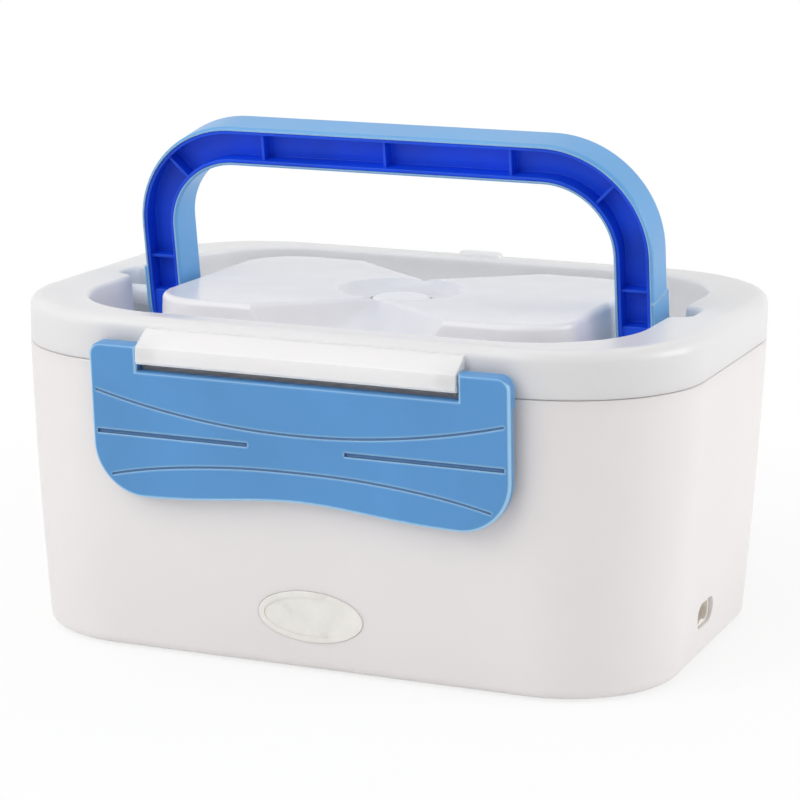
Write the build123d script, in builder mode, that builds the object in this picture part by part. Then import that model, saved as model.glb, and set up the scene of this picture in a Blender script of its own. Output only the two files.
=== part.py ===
from build123d import *
import math
import os

os.makedirs("parts", exist_ok=True)

# An electric lunch box: a drafted outer shell with a heated tub inside it, a
# lift-out food tray, and a lid that two long clips hold down, front and rear.
# Millimetres. X is the length, -Y the front, Z up, origin on the floor under the centre.

# ---- Outer shell -------------------------------------------------------------
body_length = 238.0  # outside, at the seam with the lid
body_width = 168.0
corner_radius = 49.0
body_height = 99.4  # underside of the shell to the seam
end_draft = 5.7  # how far each end leans in from the seam to the underside
side_draft = 8.1  # the same for the front and the rear
corner_draft = 9.3  # how much tighter the corners are at the underside
wall_bulge = 0.5  # outward belly of the walls at half height
base_round = 3.4
shell_wall = 2.4
foot_drop = 0.8  # the feet hold the shell this far off the table
foot_radius = 7.0
foot_seat = 1.2  # depth of a foot's recess in the floor
foot_x, foot_y = 90.0, 38.0
screw_x, screw_y = 66.0, 50.0

# ---- Tub, tray and heater ----------------------------------------------------
tub_gap = 1.0  # air between shell and tub
tub_wall = 1.8
tub_floor = 3.2
heater_space = 23.1  # shell's floor to the underside of the tub
tub_lip = 1.1  # width of the shell's lip around the tub flange
flange_thickness = 1.8
rim_step = 0.3  # the tub flange lies this far below the shell's lip
tray_gap = 1.0
tray_wall = 1.4
tray_rim = 1.5  # thickness of the tray's flange
tray_rim_inset = 3.2
plate_length = 112.0
plate_width = 72.0
plate_corner = 12.0
plate_thickness = 1.8
plate_ledge = 4.0  # width of the tub's ledge under the plate
gasket_thickness = 0.6
plate_rise = 0.6  # plate's top above the tub's floor
heater_length = 50.0
heater_width = 24.0
heater_height = 5.0
pad_thickness = 1.0
clamp_thickness = 1.5
clamp_width = 16.0
clamp_screw_x = 33.0
clamp_screw_head = 2.6
clamp_screw_radius = 1.2
stud_radius = 3.2
tab_width = 4.0  # the heater's two tabs
tab_length = 8.0
tab_thickness = 0.8
tab_x = 10.0
thermostat_y = 24.0
thermostat_radius = 6.5
thermostat_height = 5.0
cup_radius = 5.0  # the thermostat's lower part
cup_height = 3.0
bracket_length = 24.0
bracket_width = 6.0
bracket_thickness = 1.2
fuse_radius = 2.2
fuse_length = 16.0
fuse_wire_radius = 0.6
fuse_wire_length = 28.0
lead_radius = 1.0
lead_straight = 12.0  # straight end of a lead at the inlet's pins

# ---- Window, inlet and catch ledges -------------------------------------------
window_x_radius = 18.75
window_y_radius = 9.0
window_height = 18.8  # window centre above the underside
window_ring = 2.2
window_step = 1.2
window_proud = 0.3
inlet_y = -10.0
inlet_height = 15.5  # inlet centre above the underside
inlet_length = 18.0
inlet_breadth = 9.0
inlet_wall = 0.9
inlet_depth = 13.0
inlet_sunk = 1.4
pin_radius = 1.2
pin_pitch = 8.6
pin_tail = 7.0  # the pins stand out this far behind the inlet
ledge_half = 42.0
ledge_height = 79.2  # catch ledge above the underside
ledge_thickness = 2.0
ledge_reach = 1.2

# ---- Lid ---------------------------------------------------------------------
seam_gap = 0.2
seam_break = 0.35  # chamfer on both edges of the seam
lid_height = 15.6
lid_wall = 2.4
lid_top = 2.2
lid_round = 4.0
rim_round = 1.6  # inner edge of the rim
rim_end_width = 20.5  # the rim around the sunken part, at the ends
rim_side_width = 11.0  # and along the sides
groove_corner = 39.5
thumb_length = 17.0  # pad on the rear rim
thumb_width = 6.4
thumb_rise = 1.7
thumb_round = 1.5
groove_draft = 4.0
groove_wall = 1.6
groove_skin = 2.0
pocket_margin = 13.5  # from the end of the lid to a handle pocket
pocket_half = 9.7
pocket_corner = 5.0
pocket_wall = 2.0
pocket_lip = 3.0  # rounding where a pocket opens into the groove
rib_thickness = 1.6
carrier_thickness = 1.5
carrier_inset = 2.7
seal_width = 3.4
seal_height = 2.5
seal_inset = 3.6
liner_thickness = 1.6
fit = 0.2  # clearance between parts that are pushed together

# ---- Cover over the cutlery well, spoon and vent plug --------------------------
cover_end_gap = 5.5  # from the cover to the folded handle, at its legs
cover_side_gap = 2.8  # and at its bar
cover_corner = 20.0
cover_rise = 0.4  # the cover's top lies this far above the rim
cover_draft = 2.0
cover_skin = 1.8
cover_round = 2.2
dish_radius = 22.0
dish_depth = 3.8
dish_floor_radius = 14.5
scoop_overlap = 2.0  # the finger scoops start this far inside the dish's edge
scoop_rise = 20.0  # the cone's axis points this far above level, in degrees
scoop_half_angle = 52.8
well_wall = 1.6
well_height = 12.0
well_opening = 40.0  # half length of the gaps in the well's wall under the scoops
vent_bore = 4.0
vent_wall = 2.2
vent_height = 12.0
knob_radius = 10.3
knob_height = 4.0
knob_gap = 1.0
plug_clearance = 0.2
plug_length = 8.0
spoon_y = 26.0
spoon_end_gap = 7.5  # from the cover's end to the tip of the spoon's bowl
spoon_bowl_length = 42.0
spoon_bowl_width = 31.0
spoon_bowl_depth = 6.0
spoon_wall = 1.4
spoon_tail_gap = 10.5  # from the cover's other end to the end of the shaft
spoon_shaft = 9.0

# ---- Handle ------------------------------------------------------------------
handle_end_gap = 4.8  # between a leg's outer face and the end of the sunken part
handle_bar = 13.7
handle_depth = 16.5
handle_side_gap = 6.5  # between the folded bar and the side of the sunken part
handle_outer_radius = 37.5
handle_lean = 9.84  # degrees, toward the front
handle_flange = 1.1
handle_channel = 9.0
handle_edge = 1.6
pivot_drop = 9.0  # pivot below the rim
stub_radius = 3.5  # the lid's stubs that the handle turns on
stub_clearance = 0.08
stub_tip_gap = 0.3
stub_depth = 6.5  # how far a stub reaches into the handle's leg
handle_floor_gap = 0.8
pad_rise = 14.0
pad_proud = 0.3
inlay_wall = 1.1
inlay_floor = 2.0
inlay_recess = 0.5  # inlay's edge below the handle's front
inlay_block = 5.0  # the inlay is solid up to this far above the pivot
block_recess = 1.6
inlay_rib = 0.9
inlay_rib_height = 5.2
inlay_rib_x = 45.0
inlay_rib_v = 17.5  # ribs on the legs, above the pivot
inlay_bend_angle = 45.0

# ---- Clips and the lid's hinge bars -------------------------------------------
clip_half = 73.0
clip_notch = 55.9
bar_half = 55.5
bar_top = 12.3  # heights above the lid's lower edge
bar_shoulder = 7.5
bar_bottom = 1.7
bar_reach = 8.5  # how far the bar stands out from the lid
clip_pin_height = 5.1
clip_pin_reach = 5.4
clip_pin_radius = 1.5
clip_pin_clearance = 0.08
clip_pin_length = 6.0
clip_front = 2.4  # front face, out from the pin's axis
clip_back = 2.6  # back of the ears, in from the pin's axis
clip_rim_back = 1.0  # back of the plate's rim, in from the pin's axis
clip_ear = 2.9  # top of the ears, above the pin
clip_ear_corner = 4.2
clip_notch_drop = 5.8
clip_ear_root = 2.0  # the ears' thicker part runs this far down the plate
clip_length = 49.0  # pin to the lowest point
clip_arch = 3.7  # rise of the bottom edge at the middle
clip_corner = 18.0
clip_plate = 2.6  # thickness of the plate inside the rim
clip_rim = 2.4
clip_edge = 1.2
hook_half = 38.0
hook_thickness = 2.4
hook_drop = 0.5  # the hook's top lies this far below the ledge
hook_gap = 0.4  # the unlatched hook clears the ledge by this much
line_width = 0.8
line_depth = 0.5
band_width = 1.4
band_depth = 1.0
band_inner = 17.0  # the straight lines stop this far from the middle
line_margin = 1.9  # the lines stop this far inside the clip's sides

# ---- Levels and sizes that follow ----------------------------------------------
seam_z = foot_drop + body_height
lid_z = seam_z + seam_gap
rim_z = lid_z + lid_height
pivot_z = rim_z - pivot_drop
half_length = body_length / 2
half_width = body_width / 2
tub_top = seam_z - rim_step
tub_floor_z = foot_drop + shell_wall + heater_space
tub_inset = shell_wall + tub_gap
tray_inset = tub_inset + tub_wall + tray_gap
groove_half_length = half_length - rim_end_width
groove_half_width = half_width - rim_side_width
groove_floor = pivot_z - handle_depth / 2 - handle_floor_gap
plug_z = groove_floor - groove_skin
pocket_reach = half_length - pocket_margin
handle_half = groove_half_length - handle_end_gap
handle_rise = groove_half_width - handle_side_gap  # pivot to the top of the bar
cover_half_length = handle_half - handle_bar - cover_end_gap
cover_half_width = handle_rise - handle_bar - cover_side_gap
stub_end = handle_half + pad_proud - stub_depth


def part_way(z):
    """Height as a share of the shell's height."""
    return (z - foot_drop) / body_height


def half_size(z, inset=0.0):
    """Half length, half width and corner radius of the shell's outline at a height."""
    up = part_way(z)
    belly = 4 * wall_bulge * up * (1 - up)
    x = half_length - end_draft * (1 - up) + belly - inset
    y = half_width - side_draft * (1 - up) + belly - inset
    return x, y, corner_radius - corner_draft * (1 - up) - inset


def shell_outline(z, inset=0.0):
    """The shell's outline at a height, in the sketch that is open."""
    x, y, radius = half_size(z, inset)
    RectangleRounded(2 * x, 2 * y, radius)


def lid_outline(inset=0.0):
    """The lid's outline, the same as the shell's at the seam."""
    RectangleRounded(body_length - 2 * inset, body_width - 2 * inset, corner_radius - inset)


def vessel(low, high, inset):
    """Solid that leans as the shell's sides do, moved in by inset at the seam's height."""
    lean = side_draft / body_height
    with BuildPart() as form:
        with BuildSketch(Plane.XY.offset(high)):
            lid_outline(inset - (high - seam_z) * lean)
        extrude(amount=low - high, taper=math.degrees(math.atan(lean)))
    return form.part


def plug_outline(grow=0.0):
    """Outside of the sunken part of the lid, with the walls of the handle pockets."""
    wall = groove_wall + grow
    RectangleRounded(
        2 * (groove_half_length + wall), 2 * (groove_half_width + wall), groove_corner + wall
    )
    wall = pocket_wall + grow
    RectangleRounded(
        2 * (pocket_reach + wall), 2 * (pocket_half + wall), pocket_corner + wall
    )


def wall_lean(z, draft):
    """Angle of a wall from the vertical at a height, in radians."""
    up = part_way(z)
    return math.atan((draft + 4 * wall_bulge * (1 - 2 * up)) / body_height)


def save(builder, name):
    """Label a finished piece and write it."""
    builder.part.label = name
    export_step(builder.part, f"parts/{name}.step")


# ---- Outer shell ---------------------------------------------------------------
window_z = foot_drop + window_height
window_lean = wall_lean(window_z, side_draft)
window_plane = Plane(
    origin=(0, -half_size(window_z)[1], window_z),
    x_dir=(1, 0, 0),
    z_dir=(0, -math.cos(window_lean), -math.sin(window_lean)),
)
inlet_z = foot_drop + inlet_height
inlet_x = half_size(inlet_z)[0]
ledge_z = foot_drop + ledge_height
floor_z = foot_drop + shell_wall
boss_top = floor_z + 5.0
boss_gap = 0.3
screw_clearance = 1.9
screw_core = 1.6
screw_head = 3.6
head_seat = 4.0
lamp_x = 3.5
post_x = 12.5
post_y = -(half_size(window_z, shell_wall)[1] - 7.0)
board_thickness = 1.2
board_length = 25.0
board_height = 12.0

with BuildPart() as shell_cavity:
    for z in (floor_z, seam_z + 1.0):
        with BuildSketch(Plane.XY.offset(z)):
            shell_outline(z, shell_wall)
    loft(ruled=True)

ledge_y = half_size(ledge_z)[1] + ledge_reach
ledge_root = shell_wall / 2 + ledge_reach

with BuildPart() as outer_shell:
    for z in (foot_drop, foot_drop + body_height / 2, seam_z - seam_break):
        with BuildSketch(Plane.XY.offset(z)):
            shell_outline(z)
    loft()
    fillet(outer_shell.faces().sort_by(Axis.Z)[0].edges(), radius=base_round)
    # Bevel along the seam with the lid.
    for z, inset in ((seam_z - seam_break, 0.0), (seam_z, seam_break)):
        with BuildSketch(Plane.XY.offset(z)):
            shell_outline(z, inset)
    loft(ruled=True)
    # Catch ledges under the clips, on the front and rear walls.
    with BuildSketch(Plane.XY.offset(ledge_z)):
        with GridLocations(0, 2 * ledge_y - ledge_root, 1, 2):
            Rectangle(2 * ledge_half, ledge_root)
    extrude(amount=ledge_thickness)
    add(shell_cavity.part, mode=Mode.SUBTRACT)
    # Rebate that the tub's flange drops into.
    with BuildSketch(Plane.XY.offset(tub_top - flange_thickness)):
        lid_outline(tub_lip)
    extrude(amount=flange_thickness + 1.0, mode=Mode.SUBTRACT)
    # Bosses for the screws that hold the tub down.
    with BuildSketch(Plane.XY.offset(foot_drop + 0.5)):
        with GridLocations(2 * screw_x, 2 * screw_y, 2, 2):
            Circle(screw_head + 2.2)
    extrude(amount=boss_top - foot_drop - 0.5)
    with BuildSketch(Plane.XY.offset(foot_drop - 0.5)):
        with GridLocations(2 * screw_x, 2 * screw_y, 2, 2):
            Circle(screw_head + 0.4)
    extrude(amount=head_seat + 0.5, mode=Mode.SUBTRACT)
    with BuildSketch(Plane.XY.offset(foot_drop)):
        with GridLocations(2 * screw_x, 2 * screw_y, 2, 2):
            Circle(screw_clearance)
    extrude(amount=boss_top, mode=Mode.SUBTRACT)
    # Recesses for the feet.
    with BuildSketch(Plane.XY.offset(foot_drop - 0.5)):
        with GridLocations(2 * foot_x, 2 * foot_y, 2, 2):
            Circle(foot_radius)
    extrude(amount=foot_seat + 0.5, mode=Mode.SUBTRACT)
    # Posts with slots that hold the lamp board behind the window.
    with BuildSketch(Plane.XY.offset(floor_z - 0.2)):
        with Locations((-post_x, post_y), (post_x, post_y)):
            Rectangle(4.0, 5.0)
    extrude(amount=12.0)
    with BuildSketch(Plane.XY.offset(floor_z + 3.0)):
        with Locations((0, post_y)):
            Rectangle(board_length, board_thickness)
    extrude(amount=12.0, mode=Mode.SUBTRACT)
    # Window: a step for the bezel, and the hole behind it.
    with BuildSketch(window_plane):
        Ellipse(window_x_radius, window_y_radius)
    extrude(amount=window_step, both=True, mode=Mode.SUBTRACT)
    with BuildSketch(window_plane):
        Ellipse(window_x_radius - window_ring - 0.4, window_y_radius - window_ring - 0.4)
    extrude(amount=-3 * shell_wall, mode=Mode.SUBTRACT)
    # Opening for the power inlet.
    with BuildSketch(Plane.YZ.offset(inlet_x - 2 * shell_wall)):
        with Locations((inlet_y, inlet_z)):
            SlotOverall(inlet_length, inlet_breadth)
    extrude(amount=4 * shell_wall, mode=Mode.SUBTRACT)
save(outer_shell, "outer_shell")

with BuildPart() as feet:
    with BuildSketch():
        with GridLocations(2 * foot_x, 2 * foot_y, 2, 2):
            Circle(foot_radius - fit)
    extrude(amount=foot_drop + foot_seat)
    chamfer(feet.edges().group_by(Axis.Z)[0], length=0.5)
save(feet, "feet")

with BuildPart() as base_screws:
    head_z = foot_drop + head_seat
    with BuildSketch(Plane.XY.offset(head_z - 2.4)):
        with GridLocations(2 * screw_x, 2 * screw_y, 2, 2):
            Circle(screw_head)
    extrude(amount=2.4)
    with BuildSketch(Plane.XY.offset(head_z)):
        with GridLocations(2 * screw_x, 2 * screw_y, 2, 2):
            Circle(screw_core)
    extrude(amount=12.0)
    with BuildSketch(Plane.XY.offset(head_z - 2.4)):
        with GridLocations(2 * screw_x, 2 * screw_y, 2, 2):
            Rectangle(4.0, 0.9)
            Rectangle(0.9, 4.0)
    extrude(amount=1.2, mode=Mode.SUBTRACT)
save(base_screws, "base_screws")

# ---- Tub with the heating plate in its floor -------------------------------------
plate_top = tub_floor_z + tub_floor + plate_rise
plate_z = plate_top - plate_thickness

tub_form = vessel(tub_floor_z, tub_top, tub_inset)
tub_inside = vessel(tub_floor_z + tub_floor, tub_top + 1.0, tub_inset + tub_wall)

with BuildPart() as tub_cavity:
    add(tub_inside)
    fillet(tub_cavity.faces().sort_by(Axis.Z)[0].edges(), radius=4.0)

with BuildPart() as inner_tub:
    add(tub_form)
    fillet(inner_tub.faces().sort_by(Axis.Z)[0].edges(), radius=5.0)
    with BuildSketch(Plane.XY.offset(tub_top - flange_thickness)):
        lid_outline(tub_lip + fit)
    extrude(amount=flange_thickness)
    with BuildSketch(Plane.XY.offset(boss_top + boss_gap)):
        with GridLocations(2 * screw_x, 2 * screw_y, 2, 2):
            Circle(screw_core + 2.6)
    extrude(amount=tub_floor_z + tub_floor / 2 - boss_top - boss_gap)
    add(tub_cavity.part, mode=Mode.SUBTRACT)
    with BuildSketch(Plane.XY.offset(boss_top - 1.0)):
        with GridLocations(2 * screw_x, 2 * screw_y, 2, 2):
            Circle(screw_core)
    extrude(amount=13.0, mode=Mode.SUBTRACT)
    with BuildSketch(Plane.XY.offset(plate_z - gasket_thickness)):
        RectangleRounded(plate_length + 2 * fit, plate_width + 2 * fit, plate_corner + fit)
    extrude(amount=tub_floor, mode=Mode.SUBTRACT)
    with BuildSketch(Plane.XY.offset(tub_floor_z - 1.0)):
        RectangleRounded(
            plate_length - 2 * plate_ledge, plate_width - 2 * plate_ledge, plate_corner - plate_ledge
        )
    extrude(amount=tub_floor + 1.0, mode=Mode.SUBTRACT)
save(inner_tub, "inner_tub")

with BuildPart() as plate_gasket:
    with BuildSketch(Plane.XY.offset(plate_z - gasket_thickness)):
        RectangleRounded(plate_length, plate_width, plate_corner)
        RectangleRounded(
            plate_length - 2 * plate_ledge,
            plate_width - 2 * plate_ledge,
            plate_corner - plate_ledge,
            mode=Mode.SUBTRACT,
        )
    extrude(amount=gasket_thickness)
save(plate_gasket, "plate_gasket")

with BuildPart() as heating_plate:
    with BuildSketch(Plane.XY.offset(plate_z)):
        RectangleRounded(plate_length, plate_width, plate_corner)
    extrude(amount=plate_thickness)
    fillet(heating_plate.edges().group_by(Axis.Z)[-1], radius=0.8)
    with BuildSketch(Plane.XY.offset(plate_z - heater_height - pad_thickness)):
        with Locations((-clamp_screw_x, 0), (clamp_screw_x, 0)):
            Circle(stud_radius)
            Circle(clamp_screw_radius, mode=Mode.SUBTRACT)
    extrude(amount=heater_height + pad_thickness)
save(heating_plate, "heating_plate")

heater_z = plate_z - heater_height
with BuildPart() as ptc_heater:
    with BuildSketch(Plane.XY.offset(heater_z)):
        RectangleRounded(heater_length, heater_width, 1.5)
    extrude(amount=heater_height)
    # Tabs for the two leads.
    with BuildSketch(Plane.XY.offset(heater_z + heater_height / 2)):
        with Locations((-tab_x, heater_width / 2 - 1.0), (tab_x, heater_width / 2 - 1.0)):
            Rectangle(tab_width, tab_length, align=(Align.CENTER, Align.MIN))
    extrude(amount=tab_thickness)
save(ptc_heater, "ptc_heater")

with BuildPart() as insulation_pad:
    with BuildSketch(Plane.XY.offset(heater_z - pad_thickness)):
        RectangleRounded(heater_length + 4.0, heater_width + 4.0, 2.0)
    extrude(amount=pad_thickness)
save(insulation_pad, "insulation_pad")

clamp_z = heater_z - pad_thickness - clamp_thickness
with BuildPart() as heater_clamp:
    with BuildSketch(Plane.XY.offset(clamp_z)):
        SlotCenterToCenter(2 * clamp_screw_x, clamp_width)
        with Locations((-clamp_screw_x, 0), (clamp_screw_x, 0)):
            Circle(clamp_screw_radius + 0.3, mode=Mode.SUBTRACT)
        with GridLocations(18.0, 0, 3, 1):
            SlotOverall(10.0, 4.0, mode=Mode.SUBTRACT)
    extrude(amount=clamp_thickness)
save(heater_clamp, "heater_clamp")

with BuildPart() as clamp_screws:
    with BuildSketch(Plane.XY.offset(clamp_z - 1.8)):
        with Locations((-clamp_screw_x, 0), (clamp_screw_x, 0)):
            Circle(clamp_screw_head)
    extrude(amount=1.8)
    with BuildSketch(Plane.XY.offset(clamp_z)):
        with Locations((-clamp_screw_x, 0), (clamp_screw_x, 0)):
            Circle(clamp_screw_radius)
    extrude(amount=clamp_thickness + 4.5)
save(clamp_screws, "clamp_screws")

with BuildPart() as thermostat:
    with BuildSketch(Plane.XY.offset(plate_z - thermostat_height)):
        with Locations((0, -thermostat_y)):
            Circle(thermostat_radius)
    extrude(amount=thermostat_height)
    with BuildSketch(Plane.XY.offset(plate_z - thermostat_height - cup_height)):
        with Locations((0, -thermostat_y)):
            Circle(cup_radius)
    extrude(amount=cup_height)
    with BuildSketch(Plane.XY.offset(plate_z - bracket_thickness)):
        with Locations((0, -thermostat_y)):
            SlotOverall(bracket_length, bracket_width)
    extrude(amount=bracket_thickness)
save(thermostat, "thermostat")

with BuildPart() as thermal_fuse:
    for length, radius in ((fuse_length, fuse_radius), (fuse_wire_length, fuse_wire_radius)):
        with BuildSketch(Plane.YZ.offset(-length / 2)):
            with Locations((thermostat_y, plate_z - fuse_radius)):
                Circle(radius)
        extrude(amount=length)
save(thermal_fuse, "thermal_fuse")

# ---- Window and lamp ----------------------------------------------------------------
with BuildPart() as indicator_window:
    with BuildSketch(window_plane.offset(-window_step)):
        Ellipse(window_x_radius - fit / 2, window_y_radius - fit / 2)
    extrude(amount=window_step + window_proud)
    chamfer(indicator_window.faces().sort_by(Axis.Y)[0].edges(), length=0.25)
    with BuildSketch(window_plane.offset(window_proud)):
        Ellipse(window_x_radius - window_ring, window_y_radius - window_ring)
    extrude(amount=-0.4, mode=Mode.SUBTRACT)
    with BuildSketch(window_plane.offset(-window_step - 1.6)):
        Ellipse(window_x_radius - window_ring - 0.6, window_y_radius - window_ring - 0.6)
    extrude(amount=1.6)
save(indicator_window, "indicator_window")

with BuildPart() as lamp_board:
    with BuildSketch(Plane.XZ.offset(-(post_y + board_thickness / 2 - fit / 4))):
        with Locations((0, floor_z + 3.0 + board_height / 2)):
            Rectangle(board_length - fit, board_height)
    extrude(amount=board_thickness - fit / 2)
save(lamp_board, "lamp_board")

with BuildPart() as indicator_lamp:
    lamp_face = -(post_y - board_thickness / 2 + fit / 4)
    with BuildSketch(Plane.XZ.offset(lamp_face)):
        with Locations((lamp_x, floor_z + 3.0 + board_height / 2)):
            Circle(1.9)
    extrude(amount=3.0)
    fillet(indicator_lamp.edges().group_by(Axis.Y)[0], radius=1.6)
save(indicator_lamp, "indicator_lamp")

# ---- Power inlet ------------------------------------------------------------------------
inlet_face = inlet_x - inlet_sunk
inlet_flange_x = half_size(inlet_z - inlet_breadth, shell_wall)[0] - fit
with BuildPart() as power_inlet:
    with BuildSketch(Plane.YZ.offset(inlet_face - inlet_depth - 2.0)):
        with Locations((inlet_y, inlet_z)):
            SlotOverall(inlet_length - 2 * fit, inlet_breadth - 2 * fit)
    extrude(amount=inlet_depth + 2.0)
    with BuildSketch(Plane.YZ.offset(inlet_flange_x - 2.0)):
        with Locations((inlet_y, inlet_z)):
            SlotOverall(inlet_length + 5.0, inlet_breadth + 5.0)
    extrude(amount=2.0)
    with BuildSketch(Plane.YZ.offset(inlet_face - inlet_depth)):
        with Locations((inlet_y, inlet_z)):
            recess_radius = inlet_breadth / 2 - fit - inlet_wall
            with GridLocations(pin_pitch - 0.6, 0, 2, 1):
                Circle(recess_radius)
            Rectangle(pin_pitch, 2 * recess_radius - 1.6)
    extrude(amount=inlet_depth, mode=Mode.SUBTRACT)
    with BuildSketch(Plane.YZ.offset(inlet_face - inlet_depth - 2.0)):
        with Locations((inlet_y, inlet_z)):
            with GridLocations(pin_pitch, 0, 2, 1):
                Circle(pin_radius)
    extrude(amount=2.0, mode=Mode.SUBTRACT)
save(power_inlet, "power_inlet")

with BuildPart() as inlet_pins:
    with BuildSketch(Plane.YZ.offset(inlet_face - inlet_depth - pin_tail)):
        with Locations((inlet_y, inlet_z)):
            with GridLocations(pin_pitch, 0, 2, 1):
                Circle(pin_radius)
    extrude(amount=pin_tail + inlet_depth - 3.0)
    fillet(inlet_pins.edges().group_by(Axis.X)[-1], radius=0.6)
save(inlet_pins, "inlet_pins")

# Leads in series: inlet, thermostat, heater, fuse, inlet.
lead_gap = 0.05
pins_x = inlet_face - inlet_depth - pin_tail
elbow_x = pins_x - lead_straight
cup_z = plate_z - thermostat_height - cup_height - lead_gap
tab_z = heater_z + heater_height / 2 - lead_gap
tab_y = heater_width / 2 - 1.0 + tab_length - lead_radius - 0.5
fuse_z = plate_z - fuse_radius
fuse_x = fuse_wire_length / 2
low_z = clamp_z - 6.0
cup_x = cup_radius / 2
leads = (
    (
        (pins_x, inlet_y - pin_pitch / 2, inlet_z),
        (elbow_x, inlet_y - pin_pitch / 2, inlet_z),
        (cup_x + 9.5, -thermostat_y, low_z),
        (cup_x, -thermostat_y, low_z),
        (cup_x, -thermostat_y, cup_z),
    ),
    (
        (-cup_x, -thermostat_y, cup_z),
        (-cup_x, -thermostat_y, low_z),
        (-tab_x, tab_y, low_z),
        (-tab_x, tab_y, tab_z),
    ),
    (
        (tab_x, tab_y, tab_z),
        (tab_x, tab_y, low_z + 3.0),
        (-fuse_x - 6.0, thermostat_y, low_z + 3.0),
        (-fuse_x - 6.0, thermostat_y, fuse_z),
        (-fuse_x, thermostat_y, fuse_z),
    ),
    (
        (fuse_x, thermostat_y, fuse_z),
        (fuse_x + 6.0, thermostat_y, fuse_z),
        (fuse_x + 16.0, thermostat_y - 6.0, low_z),
        (elbow_x, inlet_y + pin_pitch / 2, inlet_z),
        (pins_x, inlet_y + pin_pitch / 2, inlet_z),
    ),
)

with BuildPart() as lead_wires:
    for points in leads:
        with BuildLine() as run:
            Polyline(*points)
        with BuildSketch(Plane(origin=run.line @ 0, z_dir=run.line % 0)):
            Circle(lead_radius)
        sweep(path=run.line, transition=Transition.RIGHT)
save(lead_wires, "lead_wires")

# ---- Food tray -----------------------------------------------------------------------------
tray_floor_z = plate_top + 0.3
tray_form = vessel(tray_floor_z, tub_top + tray_rim, tray_inset)
tray_inside = vessel(tray_floor_z + tray_wall, tub_top + tray_rim + 1.0, tray_inset + tray_wall)

with BuildPart() as tray_cavity:
    add(tray_inside)
    fillet(tray_cavity.faces().sort_by(Axis.Z)[0].edges(), radius=5.6)

with BuildPart() as food_tray:
    add(tray_form)
    fillet(food_tray.faces().sort_by(Axis.Z)[0].edges(), radius=7.0)
    with BuildSketch(Plane.XY.offset(tub_top)):
        lid_outline(tray_rim_inset)
    extrude(amount=tray_rim)
    add(tray_cavity.part, mode=Mode.SUBTRACT)
save(food_tray, "food_tray")

# ---- Lid shell ----------------------------------------------------------------------------
bar_face = half_width
carrier_z = tub_top + tray_rim + seal_height
carrier_top = carrier_z + carrier_thickness


def hinge_bar_profile(side):
    """Side view of the bar that a clip hangs from: sloping top, flat front."""
    low, high = lid_z + bar_bottom, lid_z + bar_top
    shoulder = lid_z + bar_shoulder
    root, front = bar_face - 1.0, bar_face + bar_reach
    Polyline(
        (side * root, low),
        (side * (front - 0.9), low),
        (side * front, low + 0.9),
        (side * front, shoulder),
        (side * (bar_face + 1.2), high),
        (side * root, high),
        close=True,
    )


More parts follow.
